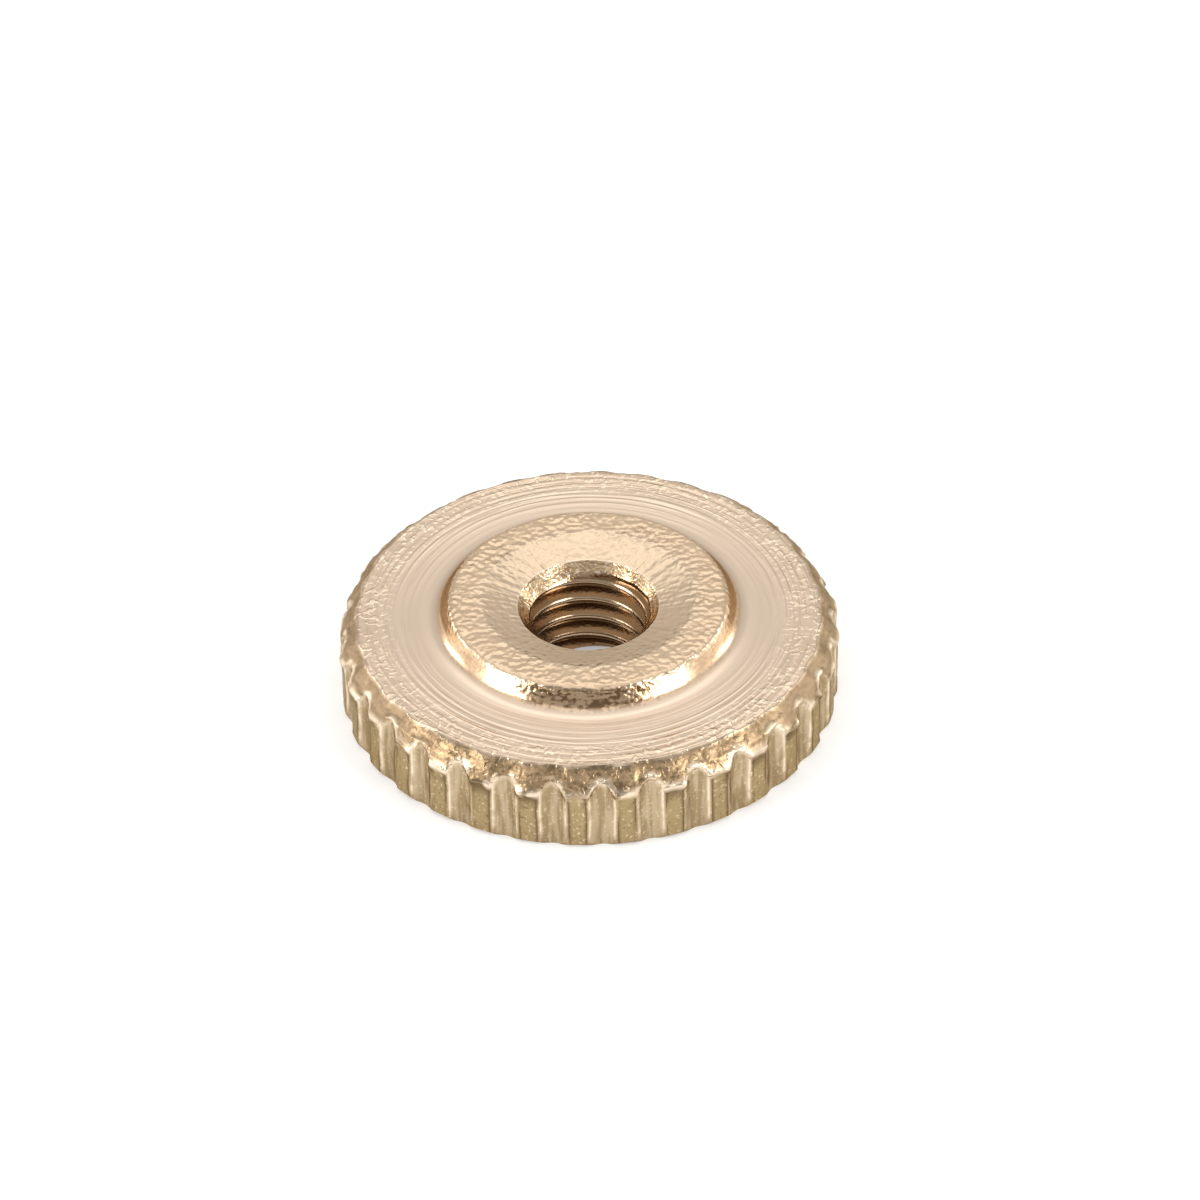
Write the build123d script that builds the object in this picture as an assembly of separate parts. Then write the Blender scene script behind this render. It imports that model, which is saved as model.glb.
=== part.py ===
from build123d import *

import os

# A knurled thumb nut, turned from brass bar in one piece: a low disc that is fluted
# around its edge for the fingers, with a dished collar and a threaded hole in the middle.
# It stands on its flat underside, with its axis along Z. Sizes are in millimetres and degrees.

# Whole nut
rim_diameter = 11.0
nut_height = 2.5
collar_height = 0.5

# Edges of the rim
shoulder_height = 0.58
shoulder_width = 0.4
shoulder_chamfer = 0.27
shoulder_rounding = 0.1
foot_chamfer = 0.16

# Flutes of the knurl
flute_count = 32
flute_depth = 0.14
flute_radius = 0.42
land_rounding = 0.1
first_flute_turn = 2.2

# Collar, a low cone that runs out softly into the flat face around it
collar_diameter = 6.68
collar_draft = 0.29
collar_rounding = 0.15
collar_foot_rounding = 0.4

# Dish in the collar and its countersink
dish_diameter = 4.7
dish_depth = 0.2
dish_rounding = 0.25
countersink_height = 0.3
mouth_clearance = 0.06

# Thread, coarse metric
thread_diameter = 3.0
thread_pitch = 0.5
bore_edge_break = 0.04

# Sizes that follow from these
rim_radius = rim_diameter / 2
rim_height = nut_height - collar_height
flat_radius = rim_radius - shoulder_width
flute_centre_radius = rim_radius - flute_depth + flute_radius
collar_radius = collar_diameter / 2
bore_radius = (thread_diameter - thread_pitch) / 2
mouth_radius = thread_diameter / 2 + mouth_clearance
mouth_level = nut_height - dish_depth


def half_outline():
    """The corners of the turned shape, each as radius, height and rounding, from the bore outwards."""
    underside = [
        (bore_radius, bore_edge_break, 0),
        (bore_radius + bore_edge_break, 0, 0),
        (rim_radius - foot_chamfer, 0, 0),
        (rim_radius, foot_chamfer, 0),
    ]
    shoulder = [
        (rim_radius, rim_height - shoulder_height, shoulder_rounding),
        (flat_radius + shoulder_chamfer, rim_height - shoulder_chamfer, shoulder_rounding),
        (flat_radius, rim_height, shoulder_rounding),
    ]
    collar = [
        (collar_radius, rim_height, collar_foot_rounding),
        (collar_radius - collar_draft, nut_height, collar_rounding),
    ]
    dish = [
        (dish_diameter / 2, nut_height, dish_rounding),
        (mouth_radius, mouth_level, 0),
        (bore_radius, mouth_level - countersink_height, 0),
    ]
    return underside + shoulder + collar + dish


def turned_blank():
    """The nut as it leaves the lathe with its hole bored: the half outline swept once around Z."""
    corners = half_outline()
    with BuildPart() as blank:
        with BuildSketch(Plane.XZ):
            with BuildLine():
                FilletPolyline(
                    [(radius, height) for radius, height, rounding in corners],
                    radius=[rounding for radius, height, rounding in corners],
                    close=True,
                )
            make_face()
        revolve(axis=Axis.Z)
    return blank.part


def knurled_bar():
    """A bar of the rim's diameter with straight flutes along it, whose lands have softened edges."""
    with BuildPart() as bar:
        with BuildSketch() as section:
            Circle(rim_radius)
            with PolarLocations(flute_centre_radius, flute_count):
                Circle(flute_radius, mode=Mode.SUBTRACT)
            fillet(section.vertices(), land_rounding)
        extrude(amount=nut_height)
    return bar.part.rotate(Axis.Z, first_flute_turn - 90)


def thumb_nut():
    """The finished nut. The flutes run out through the chamfers and leave an arch in the shoulder."""
    return turned_blank() & knurled_bar()


os.makedirs("parts", exist_ok=True)
export_step(thumb_nut(), "parts/thumb_nut.step")
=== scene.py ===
import math
from types import SimpleNamespace

import bpy
from mathutils import Matrix, Vector


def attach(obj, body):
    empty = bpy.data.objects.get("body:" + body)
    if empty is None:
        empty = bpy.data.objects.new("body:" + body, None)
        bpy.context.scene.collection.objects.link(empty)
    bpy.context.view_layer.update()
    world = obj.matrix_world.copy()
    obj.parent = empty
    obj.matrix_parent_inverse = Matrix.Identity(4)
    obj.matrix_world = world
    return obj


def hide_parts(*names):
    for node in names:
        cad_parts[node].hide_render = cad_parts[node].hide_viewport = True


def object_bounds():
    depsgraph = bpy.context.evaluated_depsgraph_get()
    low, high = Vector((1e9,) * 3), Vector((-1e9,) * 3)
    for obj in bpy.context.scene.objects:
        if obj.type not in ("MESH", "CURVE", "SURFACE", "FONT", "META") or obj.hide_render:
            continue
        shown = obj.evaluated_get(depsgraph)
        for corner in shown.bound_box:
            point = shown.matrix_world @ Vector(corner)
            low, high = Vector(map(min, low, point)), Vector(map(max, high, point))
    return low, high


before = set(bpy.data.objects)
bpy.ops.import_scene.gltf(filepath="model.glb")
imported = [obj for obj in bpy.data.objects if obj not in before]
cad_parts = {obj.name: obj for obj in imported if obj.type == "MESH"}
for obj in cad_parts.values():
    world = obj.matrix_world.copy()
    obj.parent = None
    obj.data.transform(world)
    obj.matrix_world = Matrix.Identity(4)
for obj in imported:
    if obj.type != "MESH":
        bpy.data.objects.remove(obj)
cad_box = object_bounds()


# The knurled blank
# A flat disc with a sloped shoulder and a low dished collar, turned from brass bar in one
# piece. Straight flutes are then rolled into its rim, so its skin is one flute's share, repeated.
mm = 0.001
nut_height = cad_box[1].z
rim_radius = 5.5 * mm
rim_height = 2.0 * mm
shoulder_height = 0.58 * mm
shoulder_width = 0.4 * mm
shoulder_chamfer = 0.27 * mm
shoulder_wave = 0.025 * mm
foot_chamfer = 0.10 * mm
collar_radius = 3.34 * mm
collar_draft = 0.29 * mm
dish_radius = 2.35 * mm
dish_depth = 0.2 * mm
mouth_radius = 1.56 * mm
countersink_height = 0.3 * mm
bore_radius = 1.25 * mm
hole_edge_break = 0.03 * mm

foot_rounding = 0.03 * mm
shoulder_rounding = 0.1 * mm
chamfer_rounding = 0.15 * mm
collar_foot_rounding = 0.4 * mm
collar_rounding = 0.15 * mm
dish_rounding = 0.3 * mm
mouth_rounding = 0.03 * mm
arc_steps = 4

flute_count = 32
flute_depth = 0.14 * mm
flute_radius = 0.42 * mm
land_rounding = 0.1 * mm
knurl_blend = 0.03 * mm
first_flute_turn = math.radians(2.2 - 90)
flute_steps = 4
rounding_steps = 2
land_steps = 2

flat_radius = rim_radius - shoulder_width
side_height = rim_height - shoulder_height
mouth_level = nut_height - dish_depth
cone_foot = mouth_level - countersink_height
wall_top = mouth_level - mouth_rounding


def countersink_radius(height):
    """The radius of the cone that leads into the thread, at a height."""
    share = (height - cone_foot) / countersink_height
    return bore_radius + share * (mouth_radius - bore_radius)


def rounded(corners):
    """The points of a half outline, whose corners are radius, height, rounding and steps to the next."""
    points = []
    for place, (radius, height, rounding, steps) in enumerate(corners):
        here = Vector((radius, height))
        start = here
        end = here
        arc = []
        if rounding:
            before = (Vector(corners[place - 1][:2]) - here).normalized()
            after = (Vector(corners[place + 1][:2]) - here).normalized()
            half_angle = before.angle(after) / 2
            start = here + before * rounding / math.tan(half_angle)
            end = here + after * rounding / math.tan(half_angle)
            middle = here + (before + after).normalized() * rounding / math.sin(half_angle)
            spoke = start - middle
            turn = -spoke.angle_signed(end - middle)
            for step in range(arc_steps):
                arc.append(middle + Matrix.Rotation(turn * step / arc_steps, 2) @ spoke)
        if points:
            run_start = points[-1]
            run_steps = corners[place - 1][3]
            for step in range(1, run_steps):
                points.append(run_start + (start - run_start) * step / run_steps)
        points += arc + [end]
    return points


def knurled_edge():
    """One flute's share of the rim's edge, as (angle, radius), with the flute in its middle."""
    centre = rim_radius - flute_depth + flute_radius
    inner = rim_radius - land_rounding
    outer = flute_radius + land_rounding
    fillet_turn = math.acos((inner**2 + centre**2 - outer**2) / (2 * inner * centre))
    fillet = Vector((inner * math.cos(fillet_turn), inner * math.sin(fillet_turn)))
    flute_turn = math.atan2(fillet.y, centre - fillet.x)
    half = []
    for step in range(flute_steps + 1):
        turn = flute_turn * step / flute_steps
        half.append(Vector((centre - flute_radius * math.cos(turn), flute_radius * math.sin(turn))))
    for step in range(1, rounding_steps + 1):
        turn = -flute_turn + (flute_turn + fillet_turn) * step / rounding_steps
        half.append(fillet + land_rounding * Vector((math.cos(turn), math.sin(turn))))
    for step in range(1, land_steps + 1):
        turn = fillet_turn + (math.pi / flute_count - fillet_turn) * step / land_steps
        half.append(rim_radius * Vector((math.cos(turn), math.sin(turn))))
    half = [(math.atan2(place.y, place.x), place.length) for place in half]
    return [(-angle, radius) for angle, radius in reversed(half[1:])] + half


outline = rounded(
    [
        (bore_radius, hole_edge_break, 0, 1),
        (bore_radius + hole_edge_break, 0, 0, 1),
        (bore_radius + 2 * hole_edge_break, 0, 0, 6),
        (rim_radius - foot_chamfer, 0, foot_rounding, 3),
        (rim_radius, foot_chamfer, foot_rounding, 12),
        (rim_radius, side_height, shoulder_rounding, 11),
        (flat_radius + shoulder_chamfer, rim_height - shoulder_chamfer, chamfer_rounding, 9),
        (flat_radius, rim_height, shoulder_rounding, 12),
        (collar_radius, rim_height, collar_foot_rounding, 4),
        (collar_radius - collar_draft, nut_height, collar_rounding, 6),
        (dish_radius, nut_height, dish_rounding, 8),
        (mouth_radius, mouth_level, mouth_rounding, 2),
        (countersink_radius(wall_top), wall_top, 0, 0),
    ]
)
edge = knurled_edge()
last_column = len(edge) - 1
crease_columns = (land_steps, last_column - land_steps)


def ramp(value, low, high):
    """0 up to low, 1 from high, and a smooth rise between them."""
    share = min(max((value - low) / (high - low), 0), 1)
    return share * share * (3 - 2 * share)


def softer_smaller(a, b, blend):
    """The smaller of two sizes, eased where they are nearly the same."""
    near = max(blend - abs(a - b), 0) / blend
    return min(a, b) - near**3 * blend / 6


def near_shoulder(height):
    """1 from the shoulder's foot upwards, and 0 on the rim's side."""
    return ramp(height, side_height - 0.08 * mm, side_height)


def skin_point(radius, height, column):
    """A point of the turned shape, drawn in where a flute runs through it."""
    edge_angle, edge_radius = edge[column]
    even_angle = (column / last_column - 0.5) * 2 * math.pi / flute_count
    crowding = ramp(radius, collar_radius, flat_radius)
    angle = even_angle + (edge_angle - even_angle) * crowding
    reach = radius
    if crowding > 0:
        near_flat = ramp(radius, flat_radius - 0.2 * mm, flat_radius + 0.05 * mm)
        wave = shoulder_wave * near_shoulder(height) * near_flat * math.cos(even_angle * flute_count)
        reach = softer_smaller(radius - wave, edge_radius, knurl_blend)
    return (reach * math.cos(angle), reach * math.sin(angle), height)


def skin_marks(radius, height, column):
    """How far each treatment of the skin reaches a point of the turned shape, from 0 to 1."""
    above_side = ramp(height, side_height, side_height + 0.06 * mm)
    side = ramp(radius, rim_radius - 0.2 * mm, rim_radius - 0.1 * mm) * (1 - above_side)
    slope = ramp(radius, flat_radius - 0.02 * mm, flat_radius + 0.08 * mm) * above_side
    flange = ramp(radius, flat_radius - 0.9 * mm, flat_radius - 0.2 * mm)
    flange *= ramp(height, side_height, side_height + 0.1 * mm)
    crown = ramp(height, nut_height - 0.11 * mm, nut_height - 0.04 * mm)
    crown *= ramp(radius, dish_radius - 0.25 * mm, dish_radius + 0.15 * mm)
    cut = radius - edge[column][1]
    flute = ramp(cut, 0, 0.05 * mm) * ramp(radius, flat_radius - 0.1 * mm, flat_radius + 0.1 * mm)
    lip = ramp(cut, 0, 0.02 * mm) * (1 - ramp(cut, 0.04 * mm, 0.09 * mm))
    burr = ramp(cut, -0.09 * mm, -0.01 * mm) * (1 - ramp(cut, 0.01 * mm, 0.05 * mm))
    side_wear = 0.6 * side * ramp(height, 0.05 * mm, 0.3 * mm)
    return {
        "side": side,
        "flute": flute,
        "lip": lip * ramp(height, 0.1 * mm, 0.3 * mm),
        "crease": side if column in crease_columns else 0.0,
        "burr": burr * near_shoulder(height),
        "shoulder": slope * (1 - flute),
        "tumbled": max(flange, crown) * (1 - flute),
        "worn": max(side_wear, 0.75 * slope, 0.3 * crown, 0.2 * flange),
        "hole_edge": float(radius < bore_radius + 3 * hole_edge_break and height <= hole_edge_break),
    }


places = [(radius, height, column) for radius, height in outline for column in range(len(edge))]
skin_faces = []
for row in range(len(outline) - 1):
    for column in range(last_column):
        corner = row * len(edge) + column
        skin_faces.append((corner, corner + 1, corner + len(edge) + 1, corner + len(edge)))
skin = bpy.data.meshes.new("turned_nut")
skin.from_pydata([skin_point(*place) for place in places], [], skin_faces)
marks = [skin_marks(*place) for place in places]
for name in marks[0]:
    values = [point_marks[name] for point_marks in marks]
    skin.attributes.new(name, "FLOAT", "POINT").data.foreach_set("value", values)
nut = bpy.data.objects.new("turned_nut", skin)
bpy.context.scene.collection.objects.link(nut)


# The thread
# An M3 coarse thread, tapped right through the bored hole: a ridge that climbs 0.5 mm in each
# turn, with a narrow crest. It fades out in the countersink and runs out through the underside.
thread_pitch = 0.5 * mm
thread_depth = 0.27 * mm
thread_lead = 0.065 * mm
thread_fade = 0.12 * mm
crest_width = 0.07 * mm
root_width = 0.0625 * mm
rows_per_turn = 12
wall_columns = flute_count * last_column


def node(tree, kind, inputs, **settings):
    """A new node with its settings. An input is a value or another node's output, by name or number."""
    made = tree.nodes.new(kind)
    for name, value in settings.items():
        setattr(made, name, value)
    for name, value in inputs.items():
        if isinstance(value, bpy.types.NodeSocket):
            tree.links.new(value, made.inputs[name])
        else:
            made.inputs[name].default_value = value
    return made


def reckoned(tree, operation, *values):
    """The result of one Math node."""
    return node(tree, "ShaderNodeMath", dict(enumerate(values)), operation=operation).outputs[0]


def spread(tree, value, low, high, low_result=0.0, high_result=1.0, style="LINEAR"):
    """The result of one Map Range node, held between its two results."""
    inputs = {0: value, 1: low, 2: high, 3: low_result, 4: high_result}
    return node(tree, "ShaderNodeMapRange", inputs, interpolation_type=style).outputs[0]


def wall_radius_group():
    """How far the tapped hole's wall is from the axis, at a share of a turn and a height."""
    tree = bpy.data.node_groups.new("tapped wall radius", "GeometryNodeTree")
    for name in ("Turn", "Height", "Pitch", "Crest Radius", "Depth"):
        tree.interface.new_socket(name, in_out="INPUT", socket_type="NodeSocketFloat")
    tree.interface.new_socket("Radius", in_out="OUTPUT", socket_type="NodeSocketFloat")
    given = tree.nodes.new("NodeGroupInput").outputs
    climb = reckoned(tree, "DIVIDE", reckoned(tree, "ADD", given["Height"], thread_lead), given["Pitch"])
    phase = reckoned(tree, "FRACT", reckoned(tree, "SUBTRACT", climb, given["Turn"]))
    from_crest = reckoned(tree, "ABSOLUTE", reckoned(tree, "SUBTRACT", phase, 0.5))
    crest_end = crest_width / thread_pitch / 2
    root_start = 0.5 - root_width / thread_pitch / 2
    cut = spread(tree, from_crest, crest_end, root_start)
    cut = reckoned(tree, "MULTIPLY", cut, spread(tree, given["Height"], cone_foot + thread_fade, cone_foot))
    thread = reckoned(tree, "MULTIPLY_ADD", cut, given["Depth"], given["Crest Radius"])
    above = reckoned(tree, "SUBTRACT", given["Height"], cone_foot)
    cone_slope = (mouth_radius - bore_radius) / countersink_height
    cone = reckoned(tree, "MULTIPLY_ADD", above, cone_slope, bore_radius)
    node(tree, "NodeGroupOutput", {"Radius": reckoned(tree, "MAXIMUM", thread, cone)})
    return tree


# The brass
# Pale champagne brass, as the lathe, the knurling wheel and the tumbling drum left it: turning
# lines on the flange, a pebbled crown, and a browner skin on the shoulder, rim and thread.
# Some of these colours are painted light: highlights on the flutes' lips, the burrs and the flange's dots,
# and shade in the thread's roots, along the knurl's creases, where the lands meet the shoulder, around the
# flange's edge and on the shoulder's left and right.
face_brass = (0.80, 0.635, 0.487, 1)
crown_brass = (0.75, 0.56, 0.38, 1)
dish_brass = (0.71, 0.545, 0.38, 1)
collar_brass = (0.83, 0.58, 0.365, 1)
collar_stain_brass = (0.30, 0.18, 0.09, 1)
# The shoulder's tone at its left and right: painted shade.
shoulder_side_shade_brass = (0.375, 0.268, 0.165, 1)
pushed_brass = (0.46, 0.315, 0.18, 1)
land_brass = (0.42, 0.31, 0.16, 1)
flute_brass = (0.365, 0.265, 0.145, 1)
streak_brass = (0.53, 0.41, 0.265, 1)
cone_brass = (0.62, 0.44, 0.265, 1)
crest_brass = (0.80, 0.62, 0.43, 1)
# Painted shade for the thread's roots, also used for the countersink's stains.
root_shade_and_stain_brass = (0.26, 0.145, 0.068, 1)
# Pale brass for bright specks, and for painted highlights on the lips, the burrs and the flange's dots.
speck_and_glint_brass = (0.97, 0.80, 0.60, 1)
# Dark brass for dirt and dark specks, and for painted shade in creases, crevices and on the flange's edge.
dirt_and_shade_brass = (0.15, 0.10, 0.05, 1)
glancing_brass = (0.70, 0.64, 0.54, 1)

# The finish reads the skin in millimetres. These are the sizes and depths of its patterns, how
# often others change in a millimetre or, around the axis, in a radian, and how the streaks and
# the stains are drawn out.
feed = 0.18
ridge_depth = 0.014
ridge_depth_inside = 0.002
underside_ridge_depth = 0.006
scratch_share = 0.8
pebble_size = 0.13
pebble_depth = 0.038
dot_size = 0.12
dot_depth = 0.010
crumb_size = 0.09
collar_crumb_depth = 0.024
shoulder_crumb_depth = 0.009
grain_size = 0.07
hole_grain_depth = 0.004
cone_grain_depth = 0.007
ray_depth = 0.020
streak_depth = 0.012
bit_depth = 0.01
calm_rate = 0.45
patch_rate = 1.1
clot_rate = 1.9
uneven_rate = 2.6
scratch_rate = 9.0
scratch_rate_around = 2.0
ray_rate_around = 14.0
streak_stretch = (8, 8, 0.9)
stain_stretch = (2.6, 2.6, 15)

# The nut's own radii and heights in millimetres, and how far from its middle the sides that
# face left and right begin.
edge_break = hole_edge_break / mm
bore = bore_radius / mm
mouth = mouth_radius / mm
dish_edge = dish_radius / mm
crown_edge = (collar_radius - collar_draft) / mm
collar_foot = collar_radius / mm
flange_end = flat_radius / mm
side_top = side_height / mm
rim_top = rim_height / mm
cone_bottom = cone_foot / mm
mouth_top = mouth_level / mm
nut_top = nut_height / mm
flank_start = 3.2
flank_end = 4.4

# Where the flange's treatments start and end, from the collar outwards.
face_start = collar_foot - 0.24
pebbles_end = collar_foot + 0.16
lines_start = collar_foot + 0.36
dots_full = collar_foot + 0.46
brush_end = collar_foot + 0.66
lines_full = collar_foot + 0.96
brush_gone = collar_foot + 1.16


def reckoned_vector(tree, operation, first, second=None):
    """The result of one Vector Math node, whose second value is one number when it scales."""
    inputs = {0: first}
    if second is not None:
        inputs["Scale" if operation == "SCALE" else 1] = second
    return node(tree, "ShaderNodeVectorMath", inputs, operation=operation).outputs[0]


def product(tree, *values):
    """Several shares multiplied together."""
    result = values[0]
    for value in values[1:]:
        result = reckoned(tree, "MULTIPLY", result, value)
    return result


def between(tree, value, low, low_full, high_full, high):
    """1 from low_full to high_full, which fades to 0 at low and at high."""
    return product(tree, spread(tree, value, low, low_full), spread(tree, value, high, high_full))


def noise(tree, place, scale, detail, output="Fac"):
    """A soft random pattern, from 0 to 1."""
    inputs = {"Vector": place, "Scale": scale, "Detail": detail, "Roughness": 0.5}
    return node(tree, "ShaderNodeTexNoise", inputs).outputs[output]


def centred(tree, pattern):
    """A pattern from 0 to 1, moved so that it runs from -0.5 to 0.5."""
    return reckoned(tree, "SUBTRACT", pattern, 0.5)


def mixed(tree, share, first, second):
    """One colour going over to another."""
    return node(tree, "ShaderNodeMix", {0: share, 6: first, 7: second}, data_type="RGBA").outputs[2]


def mark(tree, name):
    """One of the skin's own marks, as the mesh carries it."""
    return node(tree, "ShaderNodeAttribute", {}, attribute_name=name).outputs["Fac"]


def skin_parts(tree):
    """Where a point of the skin is, and how far it belongs to each part of the nut, from 0 to 1."""
    parts = SimpleNamespace()
    for name in ("side", "flute", "lip", "crease", "burr", "shoulder", "tumbled"):
        setattr(parts, name, mark(tree, name))
    spot = node(tree, "ShaderNodeTexCoord", {}).outputs["Object"]
    parts.spot = reckoned_vector(tree, "SCALE", spot, 1 / mm)
    x, y, z = node(tree, "ShaderNodeSeparateXYZ", {0: parts.spot}).outputs
    flat = node(tree, "ShaderNodeCombineXYZ", {"X": x, "Y": y}).outputs[0]
    radius = node(tree, "ShaderNodeVectorMath", {0: flat}, operation="LENGTH").outputs["Value"]
    parts.outward = reckoned_vector(tree, "NORMALIZE", flat)
    parts.aside = reckoned(tree, "ABSOLUTE", x)
    parts.radius = radius
    parts.z = z

    parts.knurl = reckoned(tree, "MAXIMUM", parts.side, parts.flute)
    parts.underside = spread(tree, z, edge_break + 0.01, edge_break - 0.01)
    in_mouth = spread(tree, radius, mouth + 0.01, mouth - 0.01)
    in_hole = reckoned(tree, "MAXIMUM", mark(tree, "in_hole"), in_mouth)
    parts.in_hole = product(tree, in_hole, spread(tree, z, 0.0, edge_break))
    parts.cone = product(tree, parts.in_hole, spread(tree, z, cone_bottom - 0.02, cone_bottom + 0.06))
    parts.dish = product(
        tree,
        between(tree, radius, mouth - 0.01, mouth + 0.01, dish_edge - 0.05, dish_edge + 0.15),
        spread(tree, z, rim_top - 0.1, rim_top),
    )
    parts.collar = product(
        tree,
        between(tree, z, rim_top + 0.03, rim_top + 0.12, nut_top - 0.10, nut_top - 0.03),
        spread(tree, radius, crown_edge - 0.35, crown_edge - 0.15),
    )
    parts.outer_flange = spread(tree, radius, pebbles_end, dots_full)
    faced_off = spread(tree, radius, face_start, pebbles_end)
    faced_off = reckoned(tree, "MAXIMUM", faced_off, parts.underside)
    rough = reckoned(tree, "MAXIMUM", parts.knurl, parts.shoulder)
    parts.face = product(tree, faced_off, reckoned(tree, "SUBTRACT", 1.0, rough))

    brushed_inside = spread(tree, radius, collar_foot - 0.04, collar_foot + 0.41)
    brushed_outside = spread(tree, radius, brush_end, brush_gone, 1.0, 0.3)
    parts.brushed = product(tree, parts.face, brushed_inside, brushed_outside)

    # The shoulder is smooth at its left and right, where it is also painted darker as shade, and the collar
    # rough in front and behind.
    parts.smoothed = product(tree, parts.shoulder, spread(tree, parts.aside, flank_start, flank_end))
    parts.roughed = spread(tree, parts.aside, 1.7, 1.2, 0.25, 1.0)
    return parts


def skin_patterns(tree, parts):
    """The random patterns that the skin's relief and its colours share."""
    patterns = SimpleNamespace()
    dots = noise(tree, parts.spot, 1 / dot_size, 0.3)
    patterns.dots = spread(tree, dots, 0.53, 0.68, 0.0, 1.0, "SMOOTHSTEP")
    patterns.crumbs = noise(tree, parts.spot, 1 / crumb_size, 0.6)
    patterns.grains = noise(tree, parts.spot, 1 / grain_size, 1.0)
    patterns.patches = spread(tree, noise(tree, parts.spot, patch_rate, 1.0), 0.35, 0.65, 0.6, 1.2)
    patterns.uneven = spread(tree, noise(tree, parts.spot, uneven_rate, 1.0), 0.36, 0.52)

    # The wheel's streaks run down the flutes, and stains follow the way the collar was turned.
    down_flutes = reckoned_vector(tree, "MULTIPLY", parts.spot, streak_stretch)
    patterns.streaks = noise(tree, down_flutes, 1.0, 2.0)
    along_collar = reckoned_vector(tree, "MULTIPLY", parts.spot, stain_stretch)
    patterns.stains = noise(tree, along_collar, 1.0, 2.0)
    return patterns


def turning_lines(tree, parts):
    """The height of the lathe's lines: an uneven ridge for each turn of the feed, over finer scratches."""
    rings = node(tree, "ShaderNodeCombineXYZ", {"Z": product(tree, parts.radius, scratch_rate)}).outputs[0]
    ring_place = reckoned_vector(tree, "SCALE", parts.outward, scratch_rate_around)
    ring_place = reckoned_vector(tree, "ADD", ring_place, rings)
    scratches = noise(tree, ring_place, 1.0, 3.0)
    drift = product(tree, noise(tree, ring_place, 0.2, 1.0), 1.5)
    along_feed = reckoned(tree, "FRACT", reckoned(tree, "MULTIPLY_ADD", parts.radius, 1 / feed, drift))
    ridge = reckoned(tree, "MINIMUM", along_feed, spread(tree, along_feed, 1.0, 0.74, 0.0, 0.74))
    calm = spread(tree, noise(tree, parts.spot, calm_rate, 1.0), 0.4, 0.6, 0.55, 1.1)
    depth = spread(tree, parts.radius, lines_start, lines_full, ridge_depth_inside, ridge_depth)
    depth = reckoned(tree, "MULTIPLY_ADD", parts.underside, underside_ridge_depth, depth)
    depth = product(tree, parts.face, depth, calm)
    ridges = product(tree, ridge, depth, spread(tree, scratches, 0.35, 0.62, 0.3, 1.2))
    return reckoned(tree, "ADD", ridges, product(tree, scratches, depth, scratch_share))


def tumbling_marks(tree, parts, patterns):
    """The height of what the drum leaves: pebbles on the crown, dots on the flange, crumbs elsewhere."""
    pebbles = centred(tree, noise(tree, parts.spot, 1 / pebble_size, 0.6))
    pebbled = reckoned(tree, "MULTIPLY_ADD", parts.dish, 0.45, parts.tumbled)
    on_crown = spread(tree, parts.radius, dots_full, pebbles_end, 0.15, 1.0)
    height = product(tree, pebbles, pebbled, on_crown, patterns.patches, pebble_depth)
    raised = product(tree, parts.tumbled, parts.outer_flange, patterns.patches, dot_depth)
    height = reckoned(tree, "ADD", height, product(tree, patterns.dots, raised))
    height = product(tree, height, reckoned(tree, "MULTIPLY_ADD", parts.smoothed, -0.75, 1.0))
    collar_depth = spread(tree, parts.z, rim_top + 0.18, rim_top + 0.34, 0.007, collar_crumb_depth)
    collar_depth = product(tree, parts.collar, parts.roughed, collar_depth)
    shoulder_depth = spread(tree, parts.aside, flank_end, flank_start, 0.0015, shoulder_crumb_depth)
    crumb_depth = reckoned(tree, "ADD", product(tree, parts.shoulder, shoulder_depth), collar_depth)
    return reckoned(tree, "ADD", height, product(tree, centred(tree, patterns.crumbs), crumb_depth))


def skin_relief(tree, parts, patterns):
    """The height of all the fine relief on the skin."""
    grain_depth = product(tree, parts.in_hole, hole_grain_depth)
    grain_depth = reckoned(tree, "MULTIPLY_ADD", parts.cone, cone_grain_depth, grain_depth)
    grains = product(tree, centred(tree, patterns.grains), grain_depth)

    # Burnishing draws the dish's skin out towards its edge.
    ray_place = reckoned_vector(tree, "SCALE", parts.outward, ray_rate_around)
    ray_place = reckoned_vector(tree, "ADD", ray_place, parts.spot)
    rays = product(tree, centred(tree, noise(tree, ray_place, 1.0, 0.6)), parts.dish, ray_depth)

    # The knurling wheel drags fine streaks down the flutes and leaves bits of metal on the lands.
    streaks = product(tree, centred(tree, patterns.streaks), streak_depth, parts.knurl)
    bits = product(tree, centred(tree, patterns.grains), bit_depth, parts.knurl)

    height = turning_lines(tree, parts)
    for part in (tumbling_marks(tree, parts, patterns), grains, rays, streaks, bits):
        height = reckoned(tree, "ADD", height, part)
    return height


def painted_bright_edges(tree, parts, patterns):
    """Where edges are painted bright: painted highlights along the flutes' lips and on the burrs over them,
    and a paler ring at the hole's mouth.
    """
    lips = reckoned(tree, "POWER", parts.lip, 1.6)
    lips = product(tree, lips, reckoned(tree, "MULTIPLY_ADD", patterns.uneven, 0.6, 0.4))
    lips = product(tree, lips, reckoned(tree, "MULTIPLY_ADD", parts.side, 0.55, 0.45))
    burrs = product(tree, parts.burr, patterns.uneven, 0.8)
    mouth_ring = product(
        tree,
        between(tree, parts.radius, mouth - 0.025, mouth - 0.005, mouth + 0.015, mouth + 0.04),
        spread(tree, parts.z, mouth_top - 0.1, mouth_top - 0.05),
        0.45,
    )
    return reckoned(tree, "MAXIMUM", reckoned(tree, "MAXIMUM", lips, burrs), mouth_ring)


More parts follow.
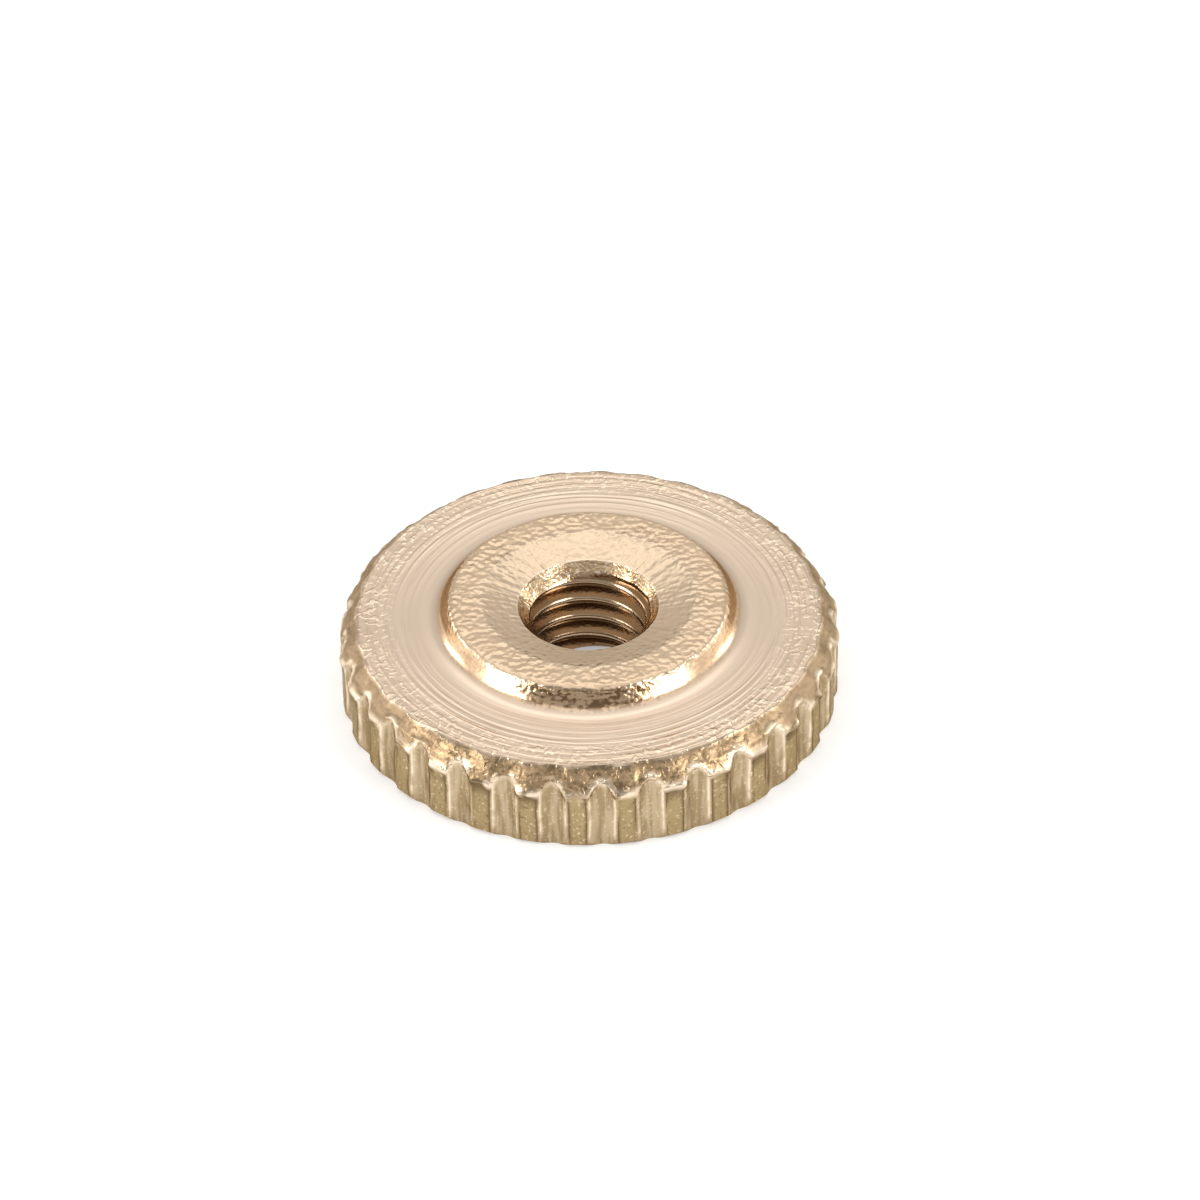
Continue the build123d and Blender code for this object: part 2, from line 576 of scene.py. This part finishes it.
def flange_colour(tree, parts, patterns):
    """The turned face, which goes over to the crown's colour, with painted highlights as bright dots near
    its edge.
    """
    on_crown = spread(tree, parts.radius, collar_foot - 0.04, collar_foot + 0.66, 1.0, 0.35)
    colour = mixed(tree, product(tree, parts.tumbled, on_crown), face_brass, crown_brass)
    # The raised dots get painted highlights in pale brass.
    dot_highlights = product(tree, patterns.dots, parts.tumbled, parts.outer_flange, patterns.patches, 0.85)
    return mixed(tree, dot_highlights, colour, speck_and_glint_brass)


def collar_colour(tree, parts, patterns):
    """The collar's wall, with long low stains in front and behind."""
    stained = reckoned(tree, "MULTIPLY_ADD", patterns.crumbs, 0.4, product(tree, patterns.stains, 0.6))
    stained = product(tree, spread(tree, stained, 0.54, 0.44), parts.roughed)
    return mixed(tree, stained, collar_brass, collar_stain_brass)


def shoulder_colour(tree, parts, patterns):
    """The shoulder, duller and painted darker as shade at its left and right, with dirt between the crumbs
    in front and behind.
    """
    dirty = reckoned(tree, "MULTIPLY_ADD", patterns.crumbs, 0.5, product(tree, patterns.stains, 0.5))
    dirty = spread(tree, dirty, 0.52, 0.38, 0.0, 0.66)
    dirty = product(tree, dirty, reckoned(tree, "MULTIPLY_ADD", parts.smoothed, -0.55, 1.0))
    # At its left and right the shoulder goes over to the darker tone: painted shade.
    return mixed(tree, dirty, mixed(tree, parts.smoothed, pushed_brass, shoulder_side_shade_brass), dirt_and_shade_brass)


def knurl_colour(tree, parts, patterns):
    """Streaked flutes and speckled lands, with painted shade as a dark line where they meet."""
    flutes = mixed(tree, spread(tree, patterns.streaks, 0.42, 0.58), flute_brass, streak_brass)
    flutes = mixed(tree, spread(tree, patterns.grains, 0.6, 0.8, 0.0, 0.5), flutes, speck_and_glint_brass)
    lands = mixed(tree, spread(tree, patterns.streaks, 0.40, 0.60, 0.0, 0.45), land_brass, flute_brass)
    lands = mixed(tree, spread(tree, patterns.grains, 0.62, 0.76, 0.0, 0.7), lands, speck_and_glint_brass)
    lands = mixed(tree, spread(tree, patterns.grains, 0.36, 0.26, 0.0, 0.7), lands, dirt_and_shade_brass)
    # Painted shade: a thin dark line along the crease where each land starts.
    thin_crease = product(tree, parts.crease, parts.crease)
    crease_shade = product(tree, thin_crease, spread(tree, patterns.streaks, 0.35, 0.5))
    return mixed(tree, crease_shade, mixed(tree, parts.flute, lands, flutes), dirt_and_shade_brass)


def hole_colour(tree, parts, patterns):
    """Bright thread crests over roots painted dark as shade, and a stained countersink with bright specks.
    """
    # The thread's roots are painted dark: painted shade between the crests.
    thread = mixed(tree, spread(tree, parts.radius, bore + 0.01, bore + 0.045), crest_brass, root_shade_and_stain_brass)
    cone = mixed(tree, spread(tree, patterns.stains, 0.54, 0.38, 0.0, 0.7), cone_brass, root_shade_and_stain_brass)
    cone = mixed(tree, spread(tree, patterns.crumbs, 0.58, 0.68, 0.0, 0.7), cone, speck_and_glint_brass)
    return mixed(tree, parts.cone, thread, cone)


def land_top_painted_shade(tree, parts):
    """Patchy painted shade where the lands meet the shoulder."""
    clotted = spread(tree, noise(tree, parts.spot, clot_rate, 1.5), 0.44, 0.54)
    darkening = between(tree, parts.z, side_top - 0.42, side_top - 0.08, side_top + 0.06, side_top + 0.20)
    darkening = product(tree, darkening, clotted, spread(tree, parts.flute, 0.6, 0.0), 0.9)
    return product(tree, darkening, reckoned(tree, "MAXIMUM", parts.side, parts.shoulder))


def flange_edge_painted_shade(tree, parts, patterns):
    """A thin line of painted shade around the flange's edge, fainter at its left and right."""
    darkening = between(
        tree, parts.radius, flange_end - 0.05, flange_end - 0.01, flange_end + 0.04, flange_end + 0.14
    )
    darkening = product(tree, darkening, spread(tree, parts.z, rim_top - 0.2, rim_top - 0.14))
    darkening = product(tree, darkening, spread(tree, parts.aside, flank_start, flank_start + 1.0, 1.0, 0.25))
    return product(tree, darkening, reckoned(tree, "MULTIPLY_ADD", patterns.uneven, 0.35, 0.25))


def skin_colour(tree, parts, patterns, bright):
    """The colour of the whole skin, part over part."""
    colour = flange_colour(tree, parts, patterns)
    colour = mixed(tree, parts.dish, colour, dish_brass)
    colour = mixed(tree, parts.collar, colour, collar_colour(tree, parts, patterns))
    colour = mixed(tree, parts.shoulder, colour, shoulder_colour(tree, parts, patterns))
    colour = mixed(tree, parts.knurl, colour, knurl_colour(tree, parts, patterns))
    # Painted shade, in patches, where the lands meet the shoulder.
    colour = mixed(tree, land_top_painted_shade(tree, parts), colour, dirt_and_shade_brass)
    # Painted shade: a thin dark line around the flange's edge.
    colour = mixed(tree, flange_edge_painted_shade(tree, parts, patterns), colour, dirt_and_shade_brass)
    colour = mixed(tree, parts.in_hole, colour, hole_colour(tree, parts, patterns))
    # The edges painted bright get painted highlights in pale brass.
    return mixed(tree, bright, colour, speck_and_glint_brass)


def skin_roughness(tree, parts, bright):
    """How dull the skin is: rough parts more, the edges painted bright and the flange's outer part less."""
    outer_face = product(tree, parts.face, spread(tree, parts.radius, brush_end, brush_gone))
    roughness = 0.2
    for part, change in (
        (parts.knurl, 0.12),
        (parts.tumbled, 0.03),
        (parts.shoulder, 0.15),
        (parts.smoothed, 0.12),
        (parts.brushed, 0.06),
        (outer_face, -0.04),
        (bright, -0.12),
    ):
        roughness = reckoned(tree, "MULTIPLY_ADD", part, change, roughness)
    return roughness


def brass_finish():
    """The brass of the whole nut."""
    finish = bpy.data.materials.new("brass")
    finish.use_nodes = True
    tree = finish.node_tree
    shader = tree.nodes["Principled BSDF"]
    shader.inputs["Metallic"].default_value = 1.0
    shader.inputs["Specular Tint"].default_value = glancing_brass
    parts = skin_parts(tree)
    patterns = skin_patterns(tree, parts)
    bright = painted_bright_edges(tree, parts, patterns)
    relief = skin_relief(tree, parts, patterns)
    bump = node(tree, "ShaderNodeBump", {"Height": relief, "Distance": mm, "Strength": 1.0}).outputs[0]
    tree.links.new(skin_colour(tree, parts, patterns, bright), shader.inputs["Base Color"])
    tree.links.new(skin_roughness(tree, parts, bright), shader.inputs["Roughness"])
    tree.links.new(bump, shader.inputs["Normal"])

    # The turning lines that are too fine to see spread what the face mirrors across them.
    spreading = node(
        tree,
        "ShaderNodeVectorTransform",
        {0: parts.outward},
        vector_type="VECTOR",
        convert_from="OBJECT",
        convert_to="WORLD",
    )
    tree.links.new(spreading.outputs[0], shader.inputs["Tangent"])
    tree.links.new(product(tree, parts.brushed, 0.8), shader.inputs["Anisotropic"])
    return finish


# The finished nut
# The flutes' shares and the tapped wall grow together into one skin. Knurling and tumbling leave
# its edges uneven: flutes that lean, small dents and lumps, and burrs on the shoulder.
weld_distance = 0.0008 * mm
lean = 0.14 * mm
lean_span = 1.1 * mm
dent_depth = 0.08 * mm
dent_span = 0.26 * mm
burr_height = 0.05 * mm
burr_span = 0.33 * mm
full_turn = 2 * math.pi


def new_shape_tree(name, sizes):
    """An empty geometry tree with a geometry input, one named input per size, and a geometry output."""
    kinds = {int: "NodeSocketInt", float: "NodeSocketFloat", bpy.types.Material: "NodeSocketMaterial"}
    tree = bpy.data.node_groups.new(name, "GeometryNodeTree")
    tree.interface.new_socket("Geometry", in_out="INPUT", socket_type="NodeSocketGeometry")
    for size, value in sizes.items():
        tree.interface.new_socket(size, in_out="INPUT", socket_type=kinds[type(value)])
    tree.interface.new_socket("Geometry", in_out="OUTPUT", socket_type="NodeSocketGeometry")
    return tree


def finished_mesh(thing, tree, sizes):
    """Runs a geometry tree on an object once, with its named sizes, and keeps the result as a plain mesh."""
    modifier = thing.modifiers.new(tree.name, "NODES")
    modifier.node_group = tree
    for socket in tree.interface.items_tree:
        if socket.in_out == "INPUT" and socket.name in sizes:
            modifier[socket.identifier] = sizes[socket.name]
    seen = thing.evaluated_get(bpy.context.evaluated_depsgraph_get())
    made = bpy.data.meshes.new_from_object(seen)
    thing.modifiers.remove(modifier)
    return made


def position(tree):
    """The position of each point in a geometry tree."""
    return tree.nodes.new("GeometryNodeInputPosition").outputs[0]


def carried(tree, name):
    """One of the skin's own marks, in a geometry tree."""
    return node(tree, "GeometryNodeInputNamedAttribute", {"Name": name}, data_type="FLOAT").outputs[0]


def moved(tree, geometry, **inputs):
    """A geometry whose points are moved by an offset or to a position."""
    return node(tree, "GeometryNodeSetPosition", {"Geometry": geometry, **inputs}).outputs[0]


def welded(tree, geometry):
    """A geometry whose seams have grown together."""
    inputs = {"Geometry": geometry, "Distance": weld_distance}
    return node(tree, "GeometryNodeMergeByDistance", inputs).outputs[0]


def around(tree, radius, angle, height):
    """A point's position from its radius, angle and height."""
    x = product(tree, radius, reckoned(tree, "COSINE", angle))
    y = product(tree, radius, reckoned(tree, "SINE", angle))
    return node(tree, "ShaderNodeCombineXYZ", {"X": x, "Y": y, "Z": height}).outputs[0]


def repeated_share(tree, given):
    """The blank's whole skin: every flute's share turned to its own place, and grown together."""
    step = reckoned(tree, "DIVIDE", full_turn, given["Flute Count"])
    count = node(tree, "GeometryNodePoints", {"Count": given["Flute Count"]}).outputs[0]
    number = tree.nodes.new("GeometryNodeInputIndex").outputs[0]
    turn = reckoned(tree, "MULTIPLY_ADD", number, step, given["First Flute Turn"])
    rotation = node(tree, "ShaderNodeCombineXYZ", {"Z": turn}).outputs[0]
    inputs = {"Points": count, "Instance": given["Geometry"], "Rotation": rotation}
    copies = node(tree, "GeometryNodeInstanceOnPoints", inputs).outputs[0]
    return welded(tree, node(tree, "GeometryNodeRealizeInstances", {"Geometry": copies}).outputs[0])


def wear_offset(tree, given):
    """How far knurling and tumbling have moved each point: the flutes' lean, dents and lumps, and burrs."""
    spot = position(tree)
    worn = carried(tree, "worn")
    leaning = noise(tree, spot, 1 / lean_span, 1.0, "Color")
    leaning = reckoned_vector(tree, "SUBTRACT", leaning, (0.5, 0.5, 0.5))
    leaning = reckoned_vector(tree, "SCALE", leaning, product(tree, worn, given["Lean"]))
    dents = centred(tree, noise(tree, spot, 1 / dent_span, 2.0))
    dents = product(tree, dents, given["Dent Depth"], worn)
    raised = spread(tree, noise(tree, spot, 1 / burr_span, 0.0), 0.4, 0.65)
    raised = product(tree, raised, product(tree, carried(tree, "burr"), given["Burr"]))
    facing = tree.nodes.new("GeometryNodeInputNormal").outputs[0]
    lumps = reckoned_vector(tree, "SCALE", facing, reckoned(tree, "ADD", dents, raised))
    return reckoned_vector(tree, "ADD", leaning, lumps)


def nut_tree(sizes):
    """The flute's share repeated around the axis, with the tapped wall joined to its two rings."""
    tree = new_shape_tree("thumb nut", sizes)
    given = tree.nodes.new("NodeGroupInput").outputs
    wall_radius = wall_radius_group()

    def wall_at(share_of_turn, height):
        """The radius of the tapped wall, at a share of a turn and a height."""
        inputs = {
            "Turn": share_of_turn,
            "Height": height,
            "Pitch": given["Thread Pitch"],
            "Crest Radius": given["Crest Radius"],
            "Depth": given["Thread Depth"],
        }
        group = node(tree, "GeometryNodeGroup", {}, node_tree=wall_radius)
        for name, value in inputs.items():
            tree.links.new(value, group.inputs[name])
        return group.outputs["Radius"]

    blank = moved(tree, repeated_share(tree, given), Offset=wear_offset(tree, given))

    # The rings at the hole's lower edge move out from the bored wall to the tapped one.
    x, y, z = node(tree, "ShaderNodeSeparateXYZ", {0: position(tree)}).outputs
    angle = reckoned(tree, "ARCTAN2", y, x)
    turn = reckoned(tree, "DIVIDE", reckoned(tree, "SUBTRACT", angle, given["First Flute Turn"]), full_turn)
    squared = reckoned(tree, "MULTIPLY_ADD", x, x, product(tree, y, y))
    off_bore = reckoned(tree, "SUBTRACT", reckoned(tree, "SQRT", squared), given["Crest Radius"])
    edge_radius = reckoned(tree, "ADD", wall_at(turn, z), off_bore)
    at_edge = reckoned(tree, "GREATER_THAN", carried(tree, "hole_edge"), 0.5)
    blank = moved(tree, blank, Selection=at_edge, Position=around(tree, edge_radius, angle, z))

    # The wall's rows climb with the thread, and are held between its bottom and its top.
    rows = round((wall_top - hole_edge_break) / thread_pitch + 1.5) * rows_per_turn + 1
    turns = (rows - 1) / rows_per_turn
    columns = reckoned(tree, "ADD", given["Wall Columns"], 1)
    grid = {"Size X": 1.0, "Size Y": 1.0, "Vertices X": rows, "Vertices Y": columns}
    sheet = node(tree, "GeometryNodeMeshGrid", grid).outputs[0]
    across, along = node(tree, "ShaderNodeSeparateXYZ", {0: position(tree)}).outputs[:2]
    sheet_turn = reckoned(tree, "ADD", along, 0.5)
    turns_up = reckoned(tree, "MULTIPLY_ADD", across, turns, sheet_turn)
    turns_up = reckoned(tree, "ADD", turns_up, turns / 2 - 1)
    held = reckoned(tree, "MAXIMUM", product(tree, turns_up, given["Thread Pitch"]), given["Wall Bottom"])
    held = reckoned(tree, "MINIMUM", held, given["Wall Top"])
    angle = reckoned(tree, "MULTIPLY_ADD", sheet_turn, full_turn, given["First Flute Turn"])
    wall = moved(tree, sheet, Position=around(tree, wall_at(sheet_turn, held), angle, held))
    wall = node(
        tree,
        "GeometryNodeStoreNamedAttribute",
        {"Geometry": wall, "Name": "in_hole", "Value": 1.0},
        data_type="FLOAT",
        domain="POINT",
    ).outputs[0]

    joined = tree.nodes.new("GeometryNodeJoinGeometry")
    tree.links.new(blank, joined.inputs[0])
    tree.links.new(wall, joined.inputs[0])
    closed = welded(tree, joined.outputs[0])
    smooth = node(tree, "GeometryNodeSetShadeSmooth", {"Geometry": closed}).outputs[0]
    real = node(tree, "GeometryNodeRealizeInstances", {"Geometry": smooth}).outputs[0]
    dressing = {"Geometry": real, "Material": given["Material"]}
    dressed = node(tree, "GeometryNodeSetMaterial", dressing).outputs[0]
    node(tree, "NodeGroupOutput", {"Geometry": dressed})
    return tree


nut_sizes = {
    "Flute Count": flute_count,
    "First Flute Turn": first_flute_turn,
    "Thread Pitch": thread_pitch,
    "Crest Radius": bore_radius,
    "Thread Depth": thread_depth,
    "Wall Bottom": hole_edge_break,
    "Wall Top": wall_top,
    "Wall Columns": wall_columns,
    "Lean": lean,
    "Dent Depth": dent_depth,
    "Burr": burr_height,
    "Material": brass_finish(),
}
nut.data = finished_mesh(nut, nut_tree(nut_sizes), nut_sizes)
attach(nut, "root")
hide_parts("thumb_nut")


# The table and the light
# The nut stands on a plain white table in a light tent, bright overhead and dim in front, with
# a soft box at each side and a smaller one behind each of those.
floor_half = 2.0
floor_corners = [(-1, -1, 0), (1, -1, 0), (1, 1, 0), (-1, 1, 0)]
floor_mesh = bpy.data.meshes.new("floor")
floor_mesh.from_pydata([Vector(corner) * floor_half for corner in floor_corners], [], [(0, 1, 2, 3)])
floor = bpy.data.objects.new("floor", floor_mesh)
bpy.context.scene.collection.objects.link(floor)
card_white = (0.78, 0.78, 0.78, 1)
card_glow = 0.30
lamp_distance = 160 * mm


def table_finish():
    """White card, which looks fully white where no shadow falls."""
    finish = bpy.data.materials.new("white card")
    finish.use_nodes = True
    tree = finish.node_tree
    tree.nodes.clear()
    card = node(tree, "ShaderNodeBsdfDiffuse", {"Color": card_white}).outputs[0]
    glow = node(tree, "ShaderNodeEmission", {"Color": (1, 1, 1, 1), "Strength": card_glow}).outputs[0]
    lit = node(tree, "ShaderNodeAddShader", {0: card, 1: glow}).outputs[0]
    ray = node(tree, "ShaderNodeLightPath", {}).outputs
    seen = reckoned(tree, "MAXIMUM", ray["Is Camera Ray"], ray["Is Glossy Ray"])
    seen = reckoned(tree, "MAXIMUM", seen, ray["Is Transmission Ray"])
    surface = node(tree, "ShaderNodeMixShader", {0: seen, 1: card, 2: lit}).outputs[0]
    node(tree, "ShaderNodeOutputMaterial", {"Surface": surface})
    return finish


floor_mesh.materials.append(table_finish())


def studio_world():
    """The tent's light by direction: dim in front, brightest overhead."""
    world = bpy.data.worlds.new("light tent")
    world.use_nodes = True
    tree = world.node_tree
    tree.nodes.clear()
    toward = node(tree, "ShaderNodeTexCoord", {}).outputs["Generated"]
    across, along, up = node(tree, "ShaderNodeSeparateXYZ", {0: toward}).outputs
    beside = reckoned(tree, "ABSOLUTE", across)
    walls = spread(tree, up, -0.05, 0.5, 0.60, 0.80)
    roof = spread(tree, up, 0.60, 0.84, 0.0, 0.74, "SMOOTHSTEP")
    roof = product(tree, roof, spread(tree, along, 0.52, 0.12, 1.0, 0.3, "SMOOTHSTEP"))
    middle = spread(tree, beside, 0.06, 0.5, 1.0, 0.93, "SMOOTHSTEP")
    flanks = spread(tree, beside, 0.80, 0.95, 0.0, 0.36, "SMOOTHSTEP")
    dimmed = spread(tree, along, -0.44, -0.62, 1.0, 0.48, "SMOOTHSTEP")
    dimmed = reckoned(tree, "ADD", dimmed, spread(tree, along, -0.80, -0.92, 0.0, 0.08, "SMOOTHSTEP"))
    strength = product(tree, reckoned(tree, "ADD", walls, roof), product(tree, middle, dimmed))
    strength = reckoned(tree, "ADD", strength, flanks)
    lit = node(tree, "ShaderNodeBackground", {"Color": (1, 1, 1, 1), "Strength": strength}).outputs[0]
    node(tree, "ShaderNodeOutputWorld", {"Surface": lit})
    return world


bpy.context.scene.world = studio_world()


def soft_box(name, azimuth, elevation, width, height, glow):
    """A lamp panel that faces the nut from a direction, in degrees, with a surface brightness."""
    panel = bpy.data.lights.new(name, "AREA")
    panel.shape = "RECTANGLE"
    panel.size = width
    panel.size_y = height
    panel.energy = glow * math.pi * width * height
    lamp = bpy.data.objects.new(name, panel)
    turn, rise = math.radians(azimuth), math.radians(elevation)
    away = Vector((math.sin(turn) * math.cos(rise), -math.cos(turn) * math.cos(rise), math.sin(rise)))
    lamp.location = away * lamp_distance
    lamp.rotation_euler = away.to_track_quat("Z", "Y").to_euler()
    lamp.visible_camera = False
    bpy.context.scene.collection.objects.link(lamp)


soft_box("left soft box", -66, 24, 76 * mm, 92 * mm, 5.0)
soft_box("right soft box", 58, 24, 84 * mm, 92 * mm, 5.0)
soft_box("left rear soft box", -112, 14, 56 * mm, 50 * mm, 3.0)
soft_box("right rear soft box", 112, 14, 56 * mm, 50 * mm, 3.0)


# The camera
# It looks down on the nut from in front, through a long lens, at about 39 degrees, and is
# rolled by about one degree. Its place and lens were fitted to the nut's printed sizes.
elevation = math.radians(39.4)
roll = math.radians(1.2)
aim = Vector((0.26, 1.19, 1.45)) * mm
distance = 170 * mm
sensor_width = 36
focal_length = 229.7
camera_data = bpy.data.cameras.new("camera")
camera_data.sensor_width = sensor_width
camera_data.lens = focal_length
camera_data.clip_start = 1 * mm
camera = bpy.data.objects.new("camera", camera_data)
back = Vector((0, -math.cos(elevation), math.sin(elevation)))
up = Vector((0, math.sin(elevation), math.cos(elevation)))
right = Vector((1, 0, 0))
turned_right = right * math.cos(roll) - up * math.sin(roll)
turned_up = right * math.sin(roll) + up * math.cos(roll)
place = Matrix((turned_right, turned_up, back)).transposed().to_4x4()
place.translation = aim + back * distance
camera.matrix_world = place
bpy.context.scene.collection.objects.link(camera)
bpy.context.scene.camera = camera
bpy.context.scene.view_settings.view_transform = "Standard"
